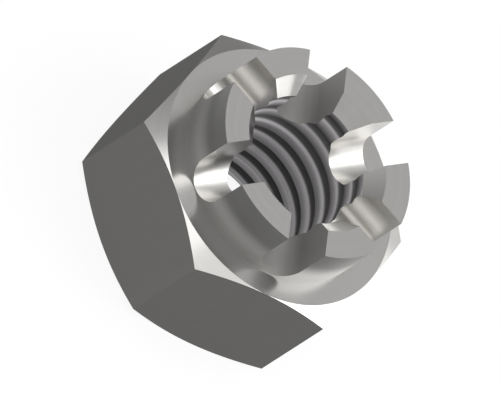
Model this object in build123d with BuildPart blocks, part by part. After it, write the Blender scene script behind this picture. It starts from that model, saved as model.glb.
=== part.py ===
from build123d import *
import os
from math import cos, radians, tan

# Hexagon castle nut, thread M10 x 1.5. The bearing face lies on z = 0, centred on the bore's axis, the crown is
# on top, and two corners of the hexagon lie on the X axis. All sizes are in millimetres.

# Driving dimensions
across_flats = 17.0
hexagon_height = 8.0
crown_height = 4.0
crown_diameter = 14.0
slot_count = 6
slot_width = 2.8
slot_step = 0.05
bore_diameter = 8.376
crown_countersink_diameter = 10.4
crown_countersink_angle = 90.0
bearing_countersink_diameter = 10.0
bearing_countersink_angle = 120.0
chamfer_circle_diameter = 17.0
chamfer_angle = 30.0
cutting_allowance = 1.0

# Sizes that follow from them
total_height = hexagon_height + crown_height
corner_radius = across_flats / 2 / cos(radians(30))
chamfer_circle_radius = chamfer_circle_diameter / 2
envelope_radius = corner_radius + cutting_allowance
chamfer_drop = (envelope_radius - chamfer_circle_radius) * tan(radians(chamfer_angle))
slot_floor_height = hexagon_height + slot_step
slot_round_radius = slot_width / 2
slot_round_centre = slot_floor_height + slot_round_radius

# The lathe's tool path: everything outside it is turned off the hexagon bar. Both ends of the bar are turned down
# to a 30 degree cone, which leaves a curved edge on each flat and a full circle on each end face.
with BuildPart() as turned_envelope:
    with BuildSketch(Plane.XZ) as envelope_profile:
        with BuildLine() as envelope_outline:
            Polyline(
                (0, 0),
                (chamfer_circle_radius, 0),
                (envelope_radius, chamfer_drop),
                (envelope_radius, hexagon_height - chamfer_drop),
                (chamfer_circle_radius, hexagon_height),
                (0, hexagon_height),
                close=True,
            )
        make_face()
    revolve(axis=Axis.Z)

# The slot milling cutter's path: a straight-sided slot with a half-round floor, from the axis outwards along +X
with BuildPart() as slot_cut:
    with BuildSketch(Plane.YZ) as slot_profile:
        with BuildLine() as slot_outline:
            left_wall = Line(
                (-slot_width / 2, total_height + cutting_allowance),
                (-slot_width / 2, slot_round_centre),
            )
            floor = CenterArc((0, slot_round_centre), slot_round_radius, 180, 180)
            right_wall = Line(floor @ 1, (slot_width / 2, total_height + cutting_allowance))
            Line(right_wall @ 1, left_wall @ 0)
        make_face()
    extrude(amount=crown_diameter / 2 + cutting_allowance)

# The nut, cut from one piece of hexagon bar
with BuildPart() as castle_nut:
    with BuildSketch() as bar_section:
        RegularPolygon(radius=across_flats / 2, side_count=6, major_radius=False)
    extrude(amount=hexagon_height)
    add(turned_envelope.part, mode=Mode.INTERSECT)

    # Round crown, turned down to leave a flat ledge on the hexagon
    with BuildSketch(Plane.XY.offset(hexagon_height)) as crown_section:
        Circle(crown_diameter / 2)
    extrude(amount=crown_height)

    # Tapping bore with a deep countersink in the crown and a shallow one in the bearing face
    with Locations((0, 0, total_height)):
        CounterSinkHole(
            radius=bore_diameter / 2,
            counter_sink_radius=crown_countersink_diameter / 2,
            counter_sink_angle=crown_countersink_angle,
        )
    with Locations(Location((0, 0, 0), (180, 0, 0))):
        CounterSinkHole(
            radius=bore_diameter / 2,
            counter_sink_radius=bearing_countersink_diameter / 2,
            counter_sink_angle=bearing_countersink_angle,
        )

    # Slots for the cotter pin, one through the middle of each flat
    with PolarLocations(0, slot_count, start_angle=360 / slot_count / 2):
        add(slot_cut.part, mode=Mode.SUBTRACT)

castle_nut.part.label = "castle_nut"

os.makedirs("parts", exist_ok=True)
export_step(castle_nut.part, "parts/castle_nut.step")
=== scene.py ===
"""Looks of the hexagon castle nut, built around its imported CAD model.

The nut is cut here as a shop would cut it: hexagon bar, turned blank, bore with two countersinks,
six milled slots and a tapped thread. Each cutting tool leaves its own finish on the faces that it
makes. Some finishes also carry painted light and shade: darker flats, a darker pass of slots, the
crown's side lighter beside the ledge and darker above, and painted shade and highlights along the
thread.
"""

from __future__ import annotations

import logging
import math
from collections.abc import Iterable
from dataclasses import dataclass
from enum import Enum

import bmesh
import bpy
from mathutils import Matrix, Vector

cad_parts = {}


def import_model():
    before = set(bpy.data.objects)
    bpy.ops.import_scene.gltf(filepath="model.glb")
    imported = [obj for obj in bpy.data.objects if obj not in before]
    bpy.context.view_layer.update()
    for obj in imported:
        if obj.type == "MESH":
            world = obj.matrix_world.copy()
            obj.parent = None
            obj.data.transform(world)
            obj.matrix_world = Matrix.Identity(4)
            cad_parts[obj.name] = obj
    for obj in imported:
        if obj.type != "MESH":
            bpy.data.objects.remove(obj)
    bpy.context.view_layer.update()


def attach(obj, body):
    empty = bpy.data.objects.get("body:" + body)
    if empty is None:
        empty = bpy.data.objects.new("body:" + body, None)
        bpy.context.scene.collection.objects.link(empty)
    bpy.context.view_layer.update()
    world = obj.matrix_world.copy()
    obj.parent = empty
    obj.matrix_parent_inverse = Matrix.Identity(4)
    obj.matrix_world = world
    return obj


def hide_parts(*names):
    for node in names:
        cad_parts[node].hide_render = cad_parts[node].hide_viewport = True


log = logging.getLogger("castle_nut")

MM = 0.001
FULL_TURN = 2 * math.pi
ORIGIN = (0, 0, 0)
X_AXIS = (1, 0, 0)
Z_AXIS = (0, 0, 1)

# The normal of an upright face rises less than this.
UPRIGHT_RISE = 0.1
# Corners at one height differ by less than this, in millimetres.
HEIGHT_MARGIN = 0.1

CAD_NODE = "castle_nut"
BODY = "root"

Colour = tuple[float, float, float]
Stops = tuple[tuple[float, float], ...]


class Lay(Enum):
    """The direction in which a tool leaves its fine marks."""

    RINGS = "rings about the bore"
    BAR = "lines along the bar"
    SLOT = "lines along each slot"


class Cut(Enum):
    """What a cut takes away, as the name of Blender's operation."""

    INSIDE = "DIFFERENCE"
    OUTSIDE = "INTERSECT"


def direction(azimuth: float, elevation: float) -> Vector:
    """Points to a place on the sky.

    Args:
        azimuth: the angle from the X axis, in degrees.
        elevation: the height, in degrees.

    Returns:
        The unit vector.
    """
    turned = math.radians(azimuth)
    raised = math.radians(elevation)
    level = math.cos(raised)
    return Vector((level * math.cos(turned), level * math.sin(turned), math.sin(raised)))


def add_object(name: str, data: bpy.types.ID) -> bpy.types.Object:
    """Adds an object to the scene.

    Args:
        name: the object's name.
        data: its mesh, lamp or camera.

    Returns:
        The object, at the origin.
    """
    item = bpy.data.objects.new(name, data)
    bpy.context.scene.collection.objects.link(item)
    return item


@dataclass(frozen=True)
class Thread:
    """The right-handed thread in the bore. Lengths are in millimetres, the angle in degrees.

    Args:
        root_diameter: the diameter of the groove's bottom.
        crest_diameter: the diameter of the bore that the tap goes into.
        pitch: the height of one turn.
        flank_angle: the angle between the groove's sides.
        crest_height: the height of the crest's middle where it crosses the X axis.
        full_height: the height up to which the groove has its full depth.
        crown_height: the height from which it has its depth in the crown.
        crown_share: the groove's depth in the crown, as a share of the full depth.
    """

    root_diameter: float = 10.0
    crest_diameter: float = 8.376
    pitch: float = 1.5
    flank_angle: float = 60.0
    crest_height: float = -0.07
    full_height: float = 7.0
    crown_height: float = 8.0
    crown_share: float = 0.2

    def depth_share(self, height: float) -> float:
        """Gives the groove's depth at a height, as a share of the full depth."""
        climbed = (height - self.full_height) / (self.crown_height - self.full_height)
        return 1 + min(1.0, max(0.0, climbed)) * (self.crown_share - 1)


class NodeSheet:
    """Adds nodes and links to one node tree, so that materials and groups are written alike."""

    def __init__(self, tree: bpy.types.NodeTree) -> None:
        """Starts on an empty tree.

        Args:
            tree: the node tree of a material, a world or a group.
        """
        self.tree = tree
        tree.nodes.clear()

    def feed(self, socket: bpy.types.NodeSocket, value: object) -> None:
        """Feeds an input.

        Args:
            socket: the input.
            value: an output to join to it, or a plain value.
        """
        if isinstance(value, bpy.types.NodeSocket):
            self.tree.links.new(value, socket)
        else:
            socket.default_value = value

    def add(
        self, kind: str, feeds: dict[str | int, object] | None = None, **settings: object
    ) -> bpy.types.Node:
        """Adds a node.

        Args:
            kind: the node's type name.
            feeds: what goes into its inputs, by their names or places.
            settings: properties of the node to set.

        Returns:
            The new node.
        """
        node = self.tree.nodes.new(kind)
        for name, value in settings.items():
            setattr(node, name, value)
        for place, value in (feeds or {}).items():
            self.feed(node.inputs[place], value)
        return node

    def math(self, operation: str, *values: object) -> bpy.types.NodeSocket:
        """Adds a Math node.

        Args:
            operation: the node's operation.
            values: its one or two inputs, as outputs of other nodes or as numbers.

        Returns:
            The node's output.
        """
        return self.add("ShaderNodeMath", dict(enumerate(values)), operation=operation).outputs[0]

    def grey_ramp(self, value: bpy.types.NodeSocket, stops: Stops) -> bpy.types.NodeSocket:
        """Turns a value into a grey along straight lines between stops.

        Args:
            value: the value, from 0 to 1.
            stops: values in rising order, each with its grey.

        Returns:
            The grey.
        """
        ramp = self.add("ShaderNodeValToRGB", {"Fac": value})
        elements = ramp.color_ramp.elements
        elements[0].position, elements[1].position = stops[0][0], stops[-1][0]
        for position, _ in stops[1:-1]:
            elements.new(position)
        for element, (_, grey) in zip(elements, stops):
            element.color = (grey, grey, grey, 1.0)
        return ramp.outputs["Color"]


class ShaderGroup:
    """A shader node group that is built once and placed in each material with its own values."""

    name: str
    inputs: tuple[str, ...]
    outputs: tuple[str, ...]

    @classmethod
    def place(cls, sheet: NodeSheet, feeds: dict[str, object]) -> bpy.types.NodeOutputs:
        """Places the group in a material, and builds it the first time.

        Args:
            sheet: the material's node tree.
            feeds: what goes into the group's inputs.

        Returns:
            The group's outputs.
        """
        tree = bpy.data.node_groups.get(cls.name) or cls.build()
        return sheet.add("ShaderNodeGroup", feeds, node_tree=tree).outputs

    @classmethod
    def build(cls) -> bpy.types.NodeTree:
        """Builds the group.

        Returns:
            The node group.
        """
        tree = bpy.data.node_groups.new(cls.name, "ShaderNodeTree")
        for side, names in (("INPUT", cls.inputs), ("OUTPUT", cls.outputs)):
            for name in names:
                tree.interface.new_socket(name, in_out=side, socket_type="NodeSocketFloat")
        sheet = NodeSheet(tree)
        given = sheet.add("NodeGroupInput").outputs
        result = sheet.add("NodeGroupOutput").inputs
        cls.wire(sheet, given, result)
        return tree

    @classmethod
    def wire(
        cls, sheet: NodeSheet, given: bpy.types.NodeOutputs, result: bpy.types.NodeInputs
    ) -> None:
        """Joins what the group is given to its results.

        Args:
            sheet: the group's node tree.
            given: what the group is given.
            result: the group's results.
        """
        raise NotImplementedError


class ToolMarks(ShaderGroup):
    """The fine tool marks that every steel finish shares, with lengths in millimetres."""

    name = "tool marks"
    inputs = (
        "Across", "Along", "Spacing", "Stretch", "Grey Spread", "Roughness", "Roughness Spread",
    )
    outputs = ("Height", "Grey", "Roughness")
    groove_scale: float = 1.0
    groove_detail: float = 3.0
    band_scale: float = 0.13
    band_detail: float = 2.0
    noise_middle: float = 0.5

    @staticmethod
    def noise(
        sheet: NodeSheet, place: bpy.types.NodeSocket, scale: float, detail: float
    ) -> bpy.types.NodeSocket:
        """Adds a Noise Texture.

        Args:
            sheet: the group's node tree.
            place: the place in the pattern.
            scale: how many features there are in a length of one.
            detail: how many finer layers of noise lie on the first.

        Returns:
            The noise, from 0 to 1.
        """
        feeds = {"Vector": place, "Scale": scale, "Detail": detail}
        return sheet.add("ShaderNodeTexNoise", feeds).outputs["Fac"]

    @classmethod
    def wire(
        cls, sheet: NodeSheet, given: bpy.types.NodeOutputs, result: bpy.types.NodeInputs
    ) -> None:
        """Makes stretched grooves and broader bands, and varies the grey and the roughness.

        Args:
            sheet: the group's node tree.
            given: what the group is given.
            result: the group's results.
        """
        across = sheet.math("DIVIDE", given["Across"], given["Spacing"])
        length = sheet.math("MULTIPLY", given["Spacing"], given["Stretch"])
        along = sheet.math("DIVIDE", given["Along"], length)
        place = sheet.add("ShaderNodeCombineXYZ", {"X": across, "Y": along}).outputs["Vector"]
        grooves = cls.noise(sheet, place, cls.groove_scale, cls.groove_detail)
        bands = cls.noise(sheet, place, cls.band_scale, cls.band_detail)
        broad = sheet.math("SUBTRACT", bands, cls.noise_middle)
        fine = sheet.math("SUBTRACT", grooves, cls.noise_middle)
        uneven = sheet.math("ADD", broad, fine)
        greyer = sheet.math("MULTIPLY", uneven, given["Grey Spread"])
        rougher = sheet.math("MULTIPLY", uneven, given["Roughness Spread"])
        sheet.feed(result["Height"], grooves)
        sheet.feed(result["Grey"], sheet.math("ADD", 1.0, greyer))
        sheet.feed(result["Roughness"], sheet.math("ADD", given["Roughness"], rougher))


class ThreadShade(ShaderGroup):
    """The painted shade and painted highlight that run along the thread, with lengths in
    millimetres and the angle in radians.

    One pitch, from crest to crest, goes through a row of painted greys, each at its share of the
    pitch: a painted highlight at the groove's lit edge and painted shade down in the groove. The
    row changes from the hexagon's to the crown's between two heights.
    """

    name = "thread shade"
    inputs = (
        "Height", "Radius", "Angle", "Facing Up", "Crest Radius", "Crest Height", "Pitch",
        "Full Height", "Crown Height",
    )
    outputs = ("Grey",)
    hexagon_stops: Stops = (
        (0.00, 0.41), (0.10, 0.51), (0.19, 0.62), (0.25, 0.76), (0.35, 0.84), (0.41, 0.52),
        (0.49, 0.22), (0.58, 0.26), (0.70, 0.29), (0.80, 0.32), (1.00, 0.41),
    )
    crown_stops: Stops = (
        (0.00, 0.43), (0.10, 0.54), (0.19, 0.65), (0.25, 0.79), (0.35, 0.87), (0.41, 0.55),
        (0.49, 0.24), (0.58, 0.23), (0.64, 0.17), (0.70, 0.105), (0.77, 0.125), (0.83, 0.21),
        (0.90, 0.31), (1.00, 0.43),
    )
    # Painted shade on the flanks that look up.
    flank_painted_shade: float = 0.15

    @classmethod
    def wire(
        cls, sheet: NodeSheet, given: bpy.types.NodeOutputs, result: bpy.types.NodeInputs
    ) -> None:
        """Follows the helix and picks the painted grey, with painted shade on faces that look up.

        Args:
            sheet: the group's node tree.
            given: what the group is given.
            result: the group's results.
        """
        depth = sheet.math("SUBTRACT", given["Radius"], given["Crest Radius"])
        level = sheet.math("ADD", given["Height"], depth)
        above = sheet.math("SUBTRACT", level, given["Crest Height"])
        pitches = sheet.math("DIVIDE", above, given["Pitch"])
        lead = sheet.math("DIVIDE", given["Angle"], FULL_TURN)
        share = sheet.math("FRACT", sheet.math("SUBTRACT", pitches, lead))
        lower = sheet.grey_ramp(share, cls.hexagon_stops)
        upper = sheet.grey_ramp(share, cls.crown_stops)
        climbed = sheet.add("ShaderNodeMapRange", {
            "Value": given["Height"],
            "From Min": given["Full Height"],
            "From Max": given["Crown Height"],
        }).outputs["Result"]
        change = sheet.math("MULTIPLY", sheet.math("SUBTRACT", upper, lower), climbed)
        groove = sheet.math("ADD", lower, change)
        upwards = sheet.math("MAXIMUM", given["Facing Up"], 0.0)
        loss = sheet.math("MULTIPLY", upwards, cls.flank_painted_shade)
        flank = sheet.math("SUBTRACT", 1.0, loss)
        sheet.feed(result["Grey"], sheet.math("MULTIPLY", groove, flank))


@dataclass(frozen=True)
class PolarPlace:
    """Where the shaded point is, round the bore: sockets in millimetres and radians."""

    radius: bpy.types.NodeSocket
    angle: bpy.types.NodeSocket
    height: bpy.types.NodeSocket
    facing_up: bpy.types.NodeSocket

    @classmethod
    def of(cls, sheet: NodeSheet) -> PolarPlace:
        """Works the place out from the object's own coordinates.

        Args:
            sheet: the material's node tree.

        Returns:
            The place.
        """
        source = sheet.add("ShaderNodeTexCoord").outputs
        millimetres = sheet.add(
            "ShaderNodeVectorMath", {"Vector": source["Object"], "Scale": 1 / MM}, operation="SCALE"
        ).outputs["Vector"]
        split = sheet.add("ShaderNodeSeparateXYZ", {"Vector": millimetres}).outputs
        facing = sheet.add("ShaderNodeSeparateXYZ", {"Vector": source["Normal"]}).outputs
        x, y, z = (split[axis] for axis in "XYZ")
        square = sheet.math("ADD", sheet.math("MULTIPLY", x, x), sheet.math("MULTIPLY", y, y))
        return cls(sheet.math("SQRT", square), sheet.math("ARCTAN2", y, x), z, facing["Z"])


@dataclass(frozen=True)
class SteelFinish:
    """Bare steel as one kind of tool leaves it. Lengths are in millimetres.

    Args:
        name: the material's name.
        colour: the metal's colour seen straight on.
        edge_tint: the tint at a grazing angle.
        roughness: the mean roughness.
        lay: the direction of the marks.
        spacing: the width of one mark.
        stretch: how many times longer a mark is than wide.
        depth: how deep the marks are.
        grey_spread: how much the colour varies from mark to mark.
        roughness_spread: how much the roughness varies from mark to mark.
    """

    name: str
    colour: Colour
    edge_tint: Colour
    roughness: float
    lay: Lay
    spacing: float = 0.05
    stretch: float = 60.0
    depth: float = 0.0003
    grey_spread: float = 0.10
    roughness_spread: float = 0.03

    def material(self) -> bpy.types.Material:
        """Builds the finish.

        Returns:
            The new material.
        """
        material = bpy.data.materials.new(self.name)
        material.use_nodes = True
        sheet = NodeSheet(material.node_tree)
        place = PolarPlace.of(sheet)
        across, along = self.across_and_along(sheet, place)
        marks = ToolMarks.place(sheet, {
            "Across": across,
            "Along": along,
            "Spacing": self.spacing,
            "Stretch": self.stretch,
            "Grey Spread": self.grey_spread,
            "Roughness": self.roughness,
            "Roughness Spread": self.roughness_spread,
        })
        grey = self.grey(sheet, marks["Grey"], place)
        metal = sheet.add(
            "ShaderNodeVectorMath", {"Vector": self.colour, "Scale": grey}, operation="SCALE"
        )
        bump = sheet.add(
            "ShaderNodeBump",
            {"Strength": 1.0, "Distance": self.depth * MM, "Height": marks["Height"]},
        )
        steel = sheet.add("ShaderNodeBsdfPrincipled", {
            "Metallic": 1.0,
            "Specular Tint": (*self.edge_tint, 1.0),
            "Base Color": metal.outputs["Vector"],
            "Roughness": marks["Roughness"],
            "Normal": bump.outputs["Normal"],
        })
        sheet.add("ShaderNodeOutputMaterial", {"Surface": steel.outputs["BSDF"]})
        return material

    def across_and_along(
        self, sheet: NodeSheet, place: PolarPlace
    ) -> tuple[bpy.types.NodeSocket, bpy.types.NodeSocket]:
        """Measures across and along the marks.

        Args:
            sheet: the material's node tree.
            place: where the shaded point is.

        Returns:
            The distance across the marks and the distance along them, in millimetres.
        """
        arc = sheet.math("MULTIPLY", place.angle, place.radius)
        if self.lay is Lay.RINGS:
            return sheet.math("ADD", place.radius, place.height), arc
        if self.lay is Lay.BAR:
            return arc, place.height
        return place.height, place.radius

    def grey(
        self, sheet: NodeSheet, marks: bpy.types.NodeSocket, place: PolarPlace
    ) -> bpy.types.NodeSocket:
        """Gives the factor that the metal's colour is multiplied by: here, the tool marks' own.

        Args:
            sheet: the material's node tree.
            marks: the factor that the tool marks give.
            place: where the shaded point is.

        Returns:
            The factor.
        """
        return marks


@dataclass(frozen=True)
class ThreadSteelPaintedShade(SteelFinish):
    """Steel in the thread, with painted shade in the groove and a painted highlight at its edge.

    Args:
        thread: the thread that the painted shade follows.
    """

    thread: Thread = Thread()

    def grey(
        self, sheet: NodeSheet, marks: bpy.types.NodeSocket, place: PolarPlace
    ) -> bpy.types.NodeSocket:
        """Paints light at the thread's edge and shade down into the groove.

        Args:
            sheet: the material's node tree.
            marks: the factor that the tool marks give.
            place: where the shaded point is.

        Returns:
            The factor that the metal's colour is multiplied by.
        """
        shade = ThreadShade.place(sheet, {
            "Height": place.height,
            "Radius": place.radius,
            "Angle": place.angle,
            "Facing Up": place.facing_up,
            "Crest Radius": self.thread.crest_diameter / 2,
            "Crest Height": self.thread.crest_height,
            "Pitch": self.thread.pitch,
            "Full Height": self.thread.full_height,
            "Crown Height": self.thread.crown_height,
        })
        return sheet.math("MULTIPLY", marks, shade["Grey"])


@dataclass(frozen=True)
class CrownSidePaintedLightAndShade(SteelFinish):
    """Turned steel on the crown's side, with painted light beside the ledge and painted shade
    towards its end, darker with height.

    Args:
        painted_light_height: the height up to which the painted light keeps the steel bright.
        painted_shade_height: the height from which the painted shade is full.
        painted_shade_share: the colour under the painted shade, as a share of the bright one.
    """

    painted_light_height: float = 8.9
    painted_shade_height: float = 10.5
    painted_shade_share: float = 0.33

    def grey(
        self, sheet: NodeSheet, marks: bpy.types.NodeSocket, place: PolarPlace
    ) -> bpy.types.NodeSocket:
        """Paints light and shade on the metal, darker with height.

        Args:
            sheet: the material's node tree.
            marks: the factor that the tool marks give.
            place: where the shaded point is.

        Returns:
            The factor that the metal's colour is multiplied by.
        """
        feeds = {
            "Value": place.height,
            "From Min": self.painted_light_height,
            "From Max": self.painted_shade_height,
            "To Min": 1.0,
            "To Max": self.painted_shade_share,
        }
        shade = sheet.add("ShaderNodeMapRange", feeds, interpolation_type="SMOOTHSTEP")
        return sheet.math("MULTIPLY", marks, shade.outputs["Result"])


BRIGHT_STEEL = (0.500, 0.493, 0.480)
FACED_STEEL = (0.462, 0.456, 0.445)
SIDE_STEEL = (0.400, 0.396, 0.388)
MILLED_STEEL = (0.600, 0.590, 0.570)
# One pass of slots gets a darker copy of the milled steel as painted shade.
MILLED_STEEL_PAINTED_SHADE = (0.375, 0.368, 0.358)
# The flats' steel and its grazing tint are darkened as painted shade, standing in for the dark
# surroundings that the flats reflect.
DRAWN_STEEL_PAINTED_SHADE = (0.159, 0.157, 0.152)
# The thread's steel is lightened past bare steel as painted light against the bore's shade; the
# thread's painted shade darkens it again.
THREAD_STEEL_PAINTED_LIGHT = (0.950, 0.930, 0.950)
BRIGHT_GRAZING = (1.0, 1.0, 1.0)
GRAZING_PAINTED_SHADE = (0.40, 0.40, 0.40)


class Finish(Enum):
    """The finishes of the nut, in the order of its material slots."""

    # The flats carry painted shade: their steel is darker than the turned steel.
    DRAWN = SteelFinish(
        "drawn_bar_steel_painted_shade", DRAWN_STEEL_PAINTED_SHADE, GRAZING_PAINTED_SHADE, 0.50, Lay.BAR, spacing=0.06, stretch=80.0
    )
    TURNED = SteelFinish(
        "turned_steel", BRIGHT_STEEL, BRIGHT_GRAZING, 0.18, Lay.RINGS, grey_spread=0.07
    )
    FACED = SteelFinish(
        "faced_ledge_steel", FACED_STEEL, BRIGHT_GRAZING, 0.24, Lay.RINGS, grey_spread=0.07
    )
    # The crown's side carries painted light beside the ledge and painted shade towards its end.
    TURNED_SIDE = CrownSidePaintedLightAndShade(
        "turned_side_steel_painted_shade", SIDE_STEEL, BRIGHT_GRAZING, 0.38, Lay.RINGS
    )
    COUNTERSUNK = SteelFinish(
        "countersunk_steel", BRIGHT_STEEL, BRIGHT_GRAZING, 0.16, Lay.RINGS
    )
    MILLED = SteelFinish(
        "milled_steel", MILLED_STEEL, BRIGHT_GRAZING, 0.24, Lay.SLOT, stretch=40.0
    )
    SOFT_MILLED = SteelFinish(
        "soft_milled_steel", MILLED_STEEL, BRIGHT_GRAZING, 0.34, Lay.SLOT, stretch=40.0
    )
    # The slots of this pass carry painted shade: the same milled steel, darker.
    DULL_MILLED = SteelFinish(
        "milled_steel_painted_shade", MILLED_STEEL_PAINTED_SHADE, BRIGHT_GRAZING, 0.75, Lay.SLOT, stretch=40.0
    )
    # The thread carries painted light and painted shade.
    TAPPED = ThreadSteelPaintedShade(
        "tapped_steel_painted_shade", THREAD_STEEL_PAINTED_LIGHT, BRIGHT_GRAZING, 0.75, Lay.RINGS, spacing=0.04
    )

    @property
    def slot_index(self) -> int:
        """The finish's place among the nut's material slots."""
        return list(Finish).index(self)


def paint(faces: Iterable[bmesh.types.BMFace], finish: Finish) -> None:
    """Gives faces one finish."""
    for face in faces:
        face.material_index = finish.slot_index


def is_upright(face: bmesh.types.BMFace) -> bool:
    """Tells whether a face stands upright."""
    return abs(face.normal.z) < UPRIGHT_RISE


def turn(
    shape: bmesh.types.BMesh, corners: Iterable[bmesh.types.BMVert], angle: float
) -> None:
    """Turns corners of a shape about the Z axis, by an angle in radians."""
    bmesh.ops.rotate(shape, verts=corners, cent=ORIGIN, matrix=Matrix.Rotation(angle, 3, "Z"))


def close_holes(shape: bmesh.types.BMesh) -> None:
    """Caps every open end of a shape with one flat face."""
    rims = [edge for edge in shape.edges if edge.is_boundary]
    bmesh.ops.holes_fill(shape, edges=rims, sides=0)


def spun_solid(profile: list[tuple[float, float]], facets: int) -> bmesh.types.BMesh:
    """Turns an open profile about the Z axis and caps its ends.

    Args:
        profile: radius and height of each corner, none on the axis.
        facets: how many facets make the full turn.

    Returns:
        A closed shape with its faces pointing outwards.
    """
    shape = bmesh.new()
    corners = [shape.verts.new((radius, 0, height)) for radius, height in profile]
    edges = [shape.edges.new(pair) for pair in zip(corners, corners[1:])]
    turn(shape, corners, FULL_TURN / facets / 2)
    bmesh.ops.spin(
        shape,
        geom=corners + edges,
        cent=ORIGIN,
        axis=Z_AXIS,
        dvec=ORIGIN,
        angle=FULL_TURN,
        steps=facets,
        use_merge=True,
    )
    close_holes(shape)
    bmesh.ops.recalc_face_normals(shape, faces=shape.faces)
    return shape


def steel_object(shape: bmesh.types.BMesh, name: str) -> bpy.types.Object:
    """Makes an object of a shape, with the nut's material slots.

    Args:
        shape: the shape, which is freed.
        name: the object's name.

    Returns:
        The object, linked to the scene.
    """
    mesh = bpy.data.meshes.new(name)
    shape.to_mesh(mesh)
    shape.free()
    for finish in Finish:
        material = bpy.data.materials.get(finish.value.name) or finish.value.material()
        mesh.materials.append(material)
    return add_object(name, mesh)


def cut(piece: bpy.types.Object, shape: bmesh.types.BMesh, kind: Cut) -> None:
    """Cuts a piece with a tool's shape, whose faces keep the tool's finish.

    Args:
        piece: the object to cut.
        shape: the tool's shape, which is freed.
        kind: whether the metal inside the shape goes, or the metal outside it.
    """
    tool = steel_object(shape, "tool")
    cutter = piece.modifiers.new("cut", "BOOLEAN")
    cutter.operation = kind.value
    cutter.object = tool
    cutter.solver = "EXACT"
    cutter.material_mode = "TRANSFER"
    bpy.context.view_layer.update()
    shown = piece.evaluated_get(bpy.context.evaluated_depsgraph_get())
    result = bpy.data.meshes.new_from_object(shown)
    before, tool_mesh = piece.data, tool.data
    piece.modifiers.clear()
    piece.data = result
    bpy.data.objects.remove(tool)
    bpy.data.meshes.remove(before)
    bpy.data.meshes.remove(tool_mesh)


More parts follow.
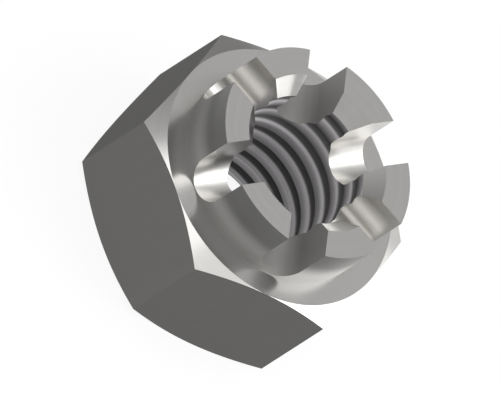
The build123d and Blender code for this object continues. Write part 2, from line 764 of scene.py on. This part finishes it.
@dataclass
class ThreadedNut:
    """The whole nut: one piece of bar. Lengths are in millimetres, angles in degrees.

    Args:
        across_flats: the width across the flats.
        corners: how many corners the bar has.
        hexagon_height: the height of the hexagon, which ends in the flat ledge.
        total_height: the height of the whole nut.
        crown_diameter: the diameter of the crown.
        chamfer_circle_diameter: the circle that the chamfers leave on both faces of the hexagon.
        chamfer_angle: the chamfers' slope.
        thread: the thread, whose crest is the tapping drill's bore.
        countersink_diameter: the diameter of the crown's right-angled countersink.
        lower_countersink_diameter: the diameter of the bearing face's countersink.
        lower_countersink_angle: the angle between that countersink's sides.
        slot_count: how many slots the crown has.
        slot_width: the width of a slot.
        slot_step: how far the slots' floors stay above the ledge.
        slot_passes: the direction of each pass through two opposite slots, and its finish; the
            darker steel of the pass at 150 degrees is painted shade.
        allowance: how far the tools reach past the metal that they cut.
        slot_clearance: the gap that keeps neighbouring slot cutters apart at their inner ends, as
            a share of half the slot's width.
        tap_overlap: how far the tap reaches inwards past the bore's wall, as a share of the
            groove's depth.
        facets: how many facets make a full turn of the lathe's and the drill's faces.
        thread_steps: how many facets make one turn of the thread.
        slot_facets: how many facets make the round floor of a slot.
        smooth_angle: the angle between two faces up to which their edge looks smooth.
        name: the piece's name.
    """

    across_flats: float = 17.0
    corners: int = 6
    hexagon_height: float = 8.0
    total_height: float = 12.0
    crown_diameter: float = 14.0
    chamfer_circle_diameter: float = 17.0
    chamfer_angle: float = 30.0
    thread: Thread = Finish.TAPPED.value.thread
    countersink_diameter: float = 10.4
    lower_countersink_diameter: float = 10.0
    lower_countersink_angle: float = 120.0
    slot_count: int = 6
    slot_width: float = 2.8
    slot_step: float = 0.05
    slot_passes: tuple[tuple[float, Finish], ...] = (
        (30.0, Finish.MILLED),
        (90.0, Finish.SOFT_MILLED),
        (150.0, Finish.DULL_MILLED),
    )
    allowance: float = 1.0
    slot_clearance: float = 0.25
    tap_overlap: float = 0.25
    facets: int = 252
    thread_steps: int = 126
    slot_facets: int = 30
    smooth_angle: float = 20.0
    name: str = "threaded_nut"

    @property
    def corner_radius(self) -> float:
        """The radius of the circle through the bar's corners."""
        return self.across_flats / 2 / math.cos(FULL_TURN / self.corners / 2)

    def bar(self) -> bmesh.types.BMesh:
        """The length of hexagon bar, with two corners on the X axis.

        Returns:
            The bar, in the drawn finish, darkened as painted shade.
        """
        shape = bmesh.new()
        bmesh.ops.create_cone(
            shape,
            cap_ends=True,
            segments=self.corners,
            radius1=self.corner_radius,
            radius2=self.corner_radius,
            depth=self.total_height + 2 * self.allowance,
            matrix=Matrix.Translation((0, 0, self.total_height / 2)),
        )
        first = max(shape.verts, key=lambda corner: corner.co.x)
        turn(shape, shape.verts, -math.atan2(first.co.y, first.co.x))
        paint(shape.faces, Finish.DRAWN)
        return shape

    def turned_envelope(self) -> bmesh.types.BMesh:
        """Everything that the lathe leaves: chamfered body, ledge and crown.

        Returns:
            The solid of revolution, in the turned finishes, with the ledge in the faced one.
        """
        chamfer_radius = self.chamfer_circle_diameter / 2
        outer_radius = self.corner_radius + self.allowance
        drop = (outer_radius - chamfer_radius) * math.tan(math.radians(self.chamfer_angle))
        crown_radius = self.crown_diameter / 2
        profile = [
            (chamfer_radius, 0),
            (outer_radius, drop),
            (outer_radius, self.hexagon_height - drop),
            (chamfer_radius, self.hexagon_height),
            (crown_radius, self.hexagon_height),
            (crown_radius, self.total_height),
        ]
        shape = spun_solid(profile, self.facets)
        paint(shape.faces, Finish.TURNED)
        # The crown's side gets the steel with painted light and shade.
        paint(filter(is_upright, shape.faces), Finish.TURNED_SIDE)
        paint(filter(self.is_ledge, shape.faces), Finish.FACED)
        return shape

    def is_ledge(self, face: bmesh.types.BMFace) -> bool:
        """Tells whether a face lies in the flat ledge at the hexagon's end."""
        levels = (corner.co.z - self.hexagon_height for corner in face.verts)
        return all(abs(level) < HEIGHT_MARGIN for level in levels)

    def bore_tool(self) -> bmesh.types.BMesh:
        """The tapping drill and its two countersinks.

        Returns:
            The shape to cut away: countersinks in their own finish, the bore between them tapped.
        """
        bore = self.thread.crest_diameter / 2
        sink = self.countersink_diameter / 2
        lower_sink = self.lower_countersink_diameter / 2
        lower_slope = math.tan(math.radians(90 - self.lower_countersink_angle / 2))
        profile = [
            (lower_sink + self.allowance / lower_slope, -self.allowance),
            (bore, (lower_sink - bore) * lower_slope),
            (bore, self.total_height - (sink - bore)),
            (sink + self.allowance, self.total_height + self.allowance),
        ]
        shape = spun_solid(profile, self.facets)
        paint(shape.faces, Finish.COUNTERSUNK)
        paint(filter(is_upright, shape.faces), Finish.TAPPED)
        return shape

    def slot_cutters(self) -> bmesh.types.BMesh:
        """Straight-sided cutters with half-round noses, from inside the bore outwards.

        Opposite slots are cut in one pass, and each pass gets its own finish; one pass's darker
        steel is painted shade.

        Returns:
            The shapes to cut away, in the milled finishes.
        """
        shape = bmesh.new()
        half = self.slot_width / 2
        centre = (0, 0, self.hexagon_height + self.slot_step + half)
        start = shape.verts.new((0, -half, centre[2]))
        nose = bmesh.ops.spin(
            shape,
            geom=[start],
            cent=centre,
            axis=X_AXIS,
            dvec=ORIGIN,
            angle=FULL_TURN / 2,
            steps=self.slot_facets,
        )
        end = next(item for item in nose["geom_last"] if isinstance(item, bmesh.types.BMVert))
        top = self.total_height + self.allowance
        left = shape.verts.new((0, start.co.y, top))
        right = shape.verts.new((0, end.co.y, top))
        for pair in ((start, left), (left, right), (right, end)):
            shape.edges.new(pair)
        bmesh.ops.contextual_create(shape, geom=shape.edges[:])

        # A cutter starts a little outside the place where its walls would meet its neighbours'.
        step = FULL_TURN / self.slot_count
        inner = half / math.sin(step / 2) + half * self.slot_clearance
        outer = self.crown_diameter / 2 + self.allowance
        raised = bmesh.ops.extrude_face_region(shape, geom=shape.faces[:])["geom"]
        moved = [item for item in raised if isinstance(item, bmesh.types.BMVert)]
        bmesh.ops.translate(shape, verts=moved, vec=(outer - inner, 0, 0))
        bmesh.ops.translate(shape, verts=shape.verts, vec=(inner, 0, 0))
        turn(shape, shape.verts, step / 2)
        bmesh.ops.spin(
            shape,
            geom=shape.faces[:],
            cent=ORIGIN,
            axis=Z_AXIS,
            dvec=ORIGIN,
            angle=FULL_TURN - step,
            steps=self.slot_count - 1,
            use_duplicate=True,
        )
        bmesh.ops.recalc_face_normals(shape, faces=shape.faces)
        for face in shape.faces:
            paint([face], self.pass_finish(face))
        return shape

    def pass_finish(self, face: bmesh.types.BMFace) -> Finish:
        """Finds the finish that the slot cutter's pass leaves on a face.

        Args:
            face: a face of a cutter.

        Returns:
            The finish of the pass that runs through the face.
        """
        place = face.calc_center_median().xy
        _, finish = max(self.slot_passes, key=lambda item: abs(place @ direction(item[0], 0).xy))
        return finish

    def tap(self) -> bmesh.types.BMesh:
        """The metal that the tap removes: one long sharp groove on a right-handed helix.

        Returns:
            The shape to cut away, in the tapped finish.
        """
        shape = bmesh.new()
        pitch = self.thread.pitch
        root = self.thread.root_diameter / 2
        crest = self.thread.crest_diameter / 2
        inner = crest - (root - crest) * self.tap_overlap
        inner_half = (root - inner) * math.tan(math.radians(self.thread.flank_angle / 2))

        # The groove starts below the nut, by whole pitches, and ends above it.
        middle = self.thread.crest_height + pitch / 2
        turns = math.ceil((self.total_height + middle) / pitch) + 1
        middle -= pitch * math.ceil((middle + inner_half) / pitch)
        section = [(inner, -inner_half), (root, 0), (inner, inner_half)]
        corners = [shape.verts.new((radius, 0, middle + rise)) for radius, rise in section]
        edges = [shape.edges.new((corners[i - 1], corners[i])) for i in range(len(corners))]
        bmesh.ops.spin(
            shape,
            geom=corners + edges,
            cent=ORIGIN,
            axis=Z_AXIS,
            dvec=(0, 0, pitch / self.thread_steps),
            angle=FULL_TURN * turns,
            steps=turns * self.thread_steps,
        )
        close_holes(shape)
        self.ease_thread(shape)
        bmesh.ops.recalc_face_normals(shape, faces=shape.faces)
        paint(shape.faces, Finish.TAPPED)
        return shape

    def ease_thread(self, shape: bmesh.types.BMesh) -> None:
        """Makes the groove shallower up into the crown, whose slots have unbroken edges.

        Args:
            shape: the tap's shape.
        """
        crest = self.thread.crest_diameter / 2
        for corner in shape.verts:
            share = self.thread.depth_share(corner.co.z)
            radius = math.hypot(corner.co.x, corner.co.y)
            scale = (crest + (radius - crest) * share) / radius
            corner.co.x *= scale
            corner.co.y *= scale

    def build(self) -> bpy.types.Object:
        """Cuts the nut from its bar and gives it its place, finish and body.

        Returns:
            The finished piece.
        """
        piece = steel_object(self.bar(), self.name)
        cut(piece, self.turned_envelope(), Cut.OUTSIDE)
        cut(piece, self.bore_tool(), Cut.INSIDE)
        cut(piece, self.slot_cutters(), Cut.INSIDE)
        cut(piece, self.tap(), Cut.INSIDE)
        mesh = piece.data
        mesh.name = self.name
        mesh.transform(Matrix.Scale(MM, 4))
        mesh.shade_smooth()
        mesh.set_sharp_from_angle(angle=math.radians(self.smooth_angle))
        shading = piece.modifiers.new("even shading", "WEIGHTED_NORMAL")
        shading.keep_sharp = True
        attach(piece, BODY)
        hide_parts(CAD_NODE)
        return piece


@dataclass
class PhotoView:
    """The camera, which looks along parallel lines. Angles are in degrees, lengths in millimetres.

    Args:
        axis_tilt: the angle between the bore's axis and the line of sight.
        azimuth: the camera's direction round the nut, from the X axis.
        roll: how far the bore's axis leans from the picture's right towards its top.
        pixels_per_mm: the picture's scale.
        image_width: the picture's width in pixels.
        aim_height: the point on the bore's axis from which the aim is measured.
        aim_right: how far to the picture's right of that point the camera aims.
        aim_up: how far towards the picture's top it aims.
        distance: how far away the camera stands.
    """

    axis_tilt: float = 44.122
    azimuth: float = -71.372
    roll: float = 32.698
    pixels_per_mm: float = 16.2718
    image_width: float = 500.0
    aim_height: float = 7.27
    aim_right: float = -1.3944
    aim_up: float = -1.1216
    distance: float = 400.0

    def axes(self) -> tuple[Vector, Vector, Vector]:
        """Works out the picture's directions.

        Returns:
            The unit vectors to the right, up, and towards the camera.
        """
        tilt = math.radians(self.axis_tilt)
        roll = math.radians(self.roll)
        towards = direction(self.azimuth, 90 - self.axis_tilt)
        along_axis = (Vector(Z_AXIS) - math.cos(tilt) * towards) / math.sin(tilt)
        sideways = towards.cross(along_axis)
        right = math.cos(roll) * along_axis - math.sin(roll) * sideways
        up = math.sin(roll) * along_axis + math.cos(roll) * sideways
        return right, up, towards

    def build(self) -> bpy.types.Object:
        """Sets the scene's camera.

        Returns:
            The camera.
        """
        right, up, towards = self.axes()
        aim = Vector((0, 0, self.aim_height)) + self.aim_right * right + self.aim_up * up
        lens = bpy.data.cameras.new("camera")
        lens.type = "ORTHO"
        lens.ortho_scale = self.image_width / self.pixels_per_mm * MM
        lens.clip_start = MM
        camera = add_object("camera", lens)
        facing = Matrix((right, up, towards)).transposed().to_4x4()
        camera.matrix_world = Matrix.Translation((aim + self.distance * towards) * MM) @ facing
        bpy.context.scene.camera = camera
        return camera


@dataclass(frozen=True)
class Softbox:
    """A soft studio lamp that points at the nut.

    Args:
        name: the lamp's name.
        azimuth: its direction round the nut, in degrees from the camera's, anticlockwise from
            above.
        elevation: its height, in degrees.
        distance: how far away it stands, in metres.
        width: its width, in metres.
        height: its height, in metres.
        radiance: how bright its face is, where 1 shows as white.
        colour: the colour of its light.
    """

    name: str
    azimuth: float
    elevation: float
    distance: float
    width: float
    height: float
    radiance: float
    colour: Colour = (1.0, 1.0, 1.0)

    def build(self, camera_azimuth: float) -> bpy.types.Object:
        """Places the lamp.

        Args:
            camera_azimuth: the camera's direction round the nut, in degrees from the X axis.

        Returns:
            The lamp.
        """
        light = bpy.data.lights.new(self.name, "AREA")
        light.shape = "RECTANGLE"
        light.size = self.width
        light.size_y = self.height
        light.energy = self.radiance * math.pi * self.width * self.height
        light.color = self.colour
        lamp = add_object(self.name, light)
        towards = direction(self.azimuth + camera_azimuth, self.elevation)
        facing = towards.to_track_quat("Z", "Y").to_matrix().to_4x4()
        lamp.matrix_world = Matrix.Translation(towards * self.distance) @ facing
        return lamp


@dataclass
class Studio:
    """The floor, the soft light of the room and the softboxes. Lengths are in metres.

    Args:
        floor_size: the length of the floor's sides.
        floor_colour: the floor's colour where light falls on it.
        floor_gap: how far the floor lies below the nut.
        floor_glow: how far the floor shows as plain white to the camera and in reflections.
        room_colour: the colour of the room's light.
        bright_side: the azimuth and elevation, in degrees, of the room's bright side. The azimuth
            is measured from the camera's.
        room_strength: the room's strength away from its bright side and at it.
        room_shade: between which cosines of the angle to the bright side the strength climbs.
        softboxes: the lamps.
    """

    floor_size: float = 4.0
    floor_colour: Colour = (0.88, 0.88, 0.88)
    floor_gap: float = 0.00001
    floor_glow: float = 0.90
    room_colour: Colour = (1.0, 1.0, 1.0)
    bright_side: tuple[float, float] = (50.0, 30.0)
    room_strength: tuple[float, float] = (0.30, 0.68)
    room_shade: tuple[float, float] = (-0.8, 0.0)
    softboxes: tuple[Softbox, ...] = (
        Softbox("key_softbox", 121.0, 44.0, 0.50, 0.58, 0.30, 2.7),
        Softbox("back_softbox", 147.0, 15.0, 0.50, 0.34, 0.22, 1.1),
        Softbox("side_softbox", 126.0, 6.0, 0.50, 0.28, 0.24, 1.2),
        Softbox("wide_overhead_softbox", 0.0, 90.0, 0.50, 0.66, 0.66, 0.65),
        Softbox("overhead_softbox", -108.0, 81.0, 0.50, 0.36, 0.36, 0.8),
    )

    def floor_card(self) -> bpy.types.Material:
        """Builds the floor's material, which keeps shadows and shows as a white background.

        Returns:
            The new material.
        """
        material = bpy.data.materials.new("pale_floor")
        material.use_nodes = True
        sheet = NodeSheet(material.node_tree)
        card = sheet.add("ShaderNodeBsdfDiffuse", {"Color": (*self.floor_colour, 1.0)})
        glow = sheet.add("ShaderNodeEmission", {"Color": (1.0, 1.0, 1.0, 1.0)})
        ray = sheet.add("ShaderNodeLightPath").outputs
        seen = sheet.math("MAXIMUM", ray["Is Camera Ray"], ray["Is Glossy Ray"])
        seen = sheet.math("MAXIMUM", seen, ray["Is Transmission Ray"])
        share = sheet.math("MULTIPLY", seen, self.floor_glow)
        both = sheet.add(
            "ShaderNodeMixShader",
            {"Fac": share, 1: card.outputs["BSDF"], 2: glow.outputs["Emission"]},
        )
        sheet.add("ShaderNodeOutputMaterial", {"Surface": both.outputs["Shader"]})
        return material

    def floor(self) -> bpy.types.Object:
        """Lays the plain pale floor.

        Returns:
            The floor.
        """
        shape = bmesh.new()
        bmesh.ops.create_grid(shape, x_segments=1, y_segments=1, size=self.floor_size / 2)
        mesh = bpy.data.meshes.new("floor")
        shape.to_mesh(mesh)
        shape.free()
        mesh.transform(Matrix.Translation((0, 0, -self.floor_gap)))
        mesh.materials.append(self.floor_card())
        floor = add_object("floor", mesh)
        return floor

    def room(self, camera_azimuth: float) -> None:
        """Fills the room with soft light that falls off away from its bright side.

        Args:
            camera_azimuth: the camera's direction round the nut, in degrees from the X axis.
        """
        world = bpy.data.worlds.new("room")
        world.use_nodes = True
        sheet = NodeSheet(world.node_tree)
        azimuth, elevation = self.bright_side
        bright = direction(azimuth + camera_azimuth, elevation)
        sky = sheet.add("ShaderNodeTexCoord").outputs["Generated"]
        side = sheet.add("ShaderNodeVectorMath", {0: sky, 1: bright}, operation="DOT_PRODUCT")
        strength = sheet.add("ShaderNodeMapRange", {
            "Value": side.outputs["Value"],
            "From Min": self.room_shade[0],
            "From Max": self.room_shade[1],
            "To Min": self.room_strength[0],
            "To Max": self.room_strength[1],
        })
        light = sheet.add(
            "ShaderNodeBackground",
            {"Color": (*self.room_colour, 1.0), "Strength": strength.outputs["Result"]},
        )
        sheet.add("ShaderNodeOutputWorld", {"Surface": light.outputs["Background"]})
        bpy.context.scene.world = world

    def build(self, camera_azimuth: float) -> None:
        """Sets up the whole studio.

        Args:
            camera_azimuth: the camera's direction round the nut, in degrees from the X axis.
        """
        self.floor()
        self.room(camera_azimuth)
        for softbox in self.softboxes:
            softbox.build(camera_azimuth)


def main() -> None:
    """Loads the frame, builds the nut, the camera and the studio."""
    logging.basicConfig(level=logging.INFO)
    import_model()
    nut = ThreadedNut().build()
    log.info("%s: %d faces", nut.name, len(nut.data.polygons))
    view = PhotoView()
    view.build()
    studio = Studio()
    studio.build(view.azimuth)
    log.info("studio: floor, room and %d softboxes", len(studio.softboxes))
    bpy.context.scene.view_settings.view_transform = "Standard"


if __name__ == "__main__":
    main()
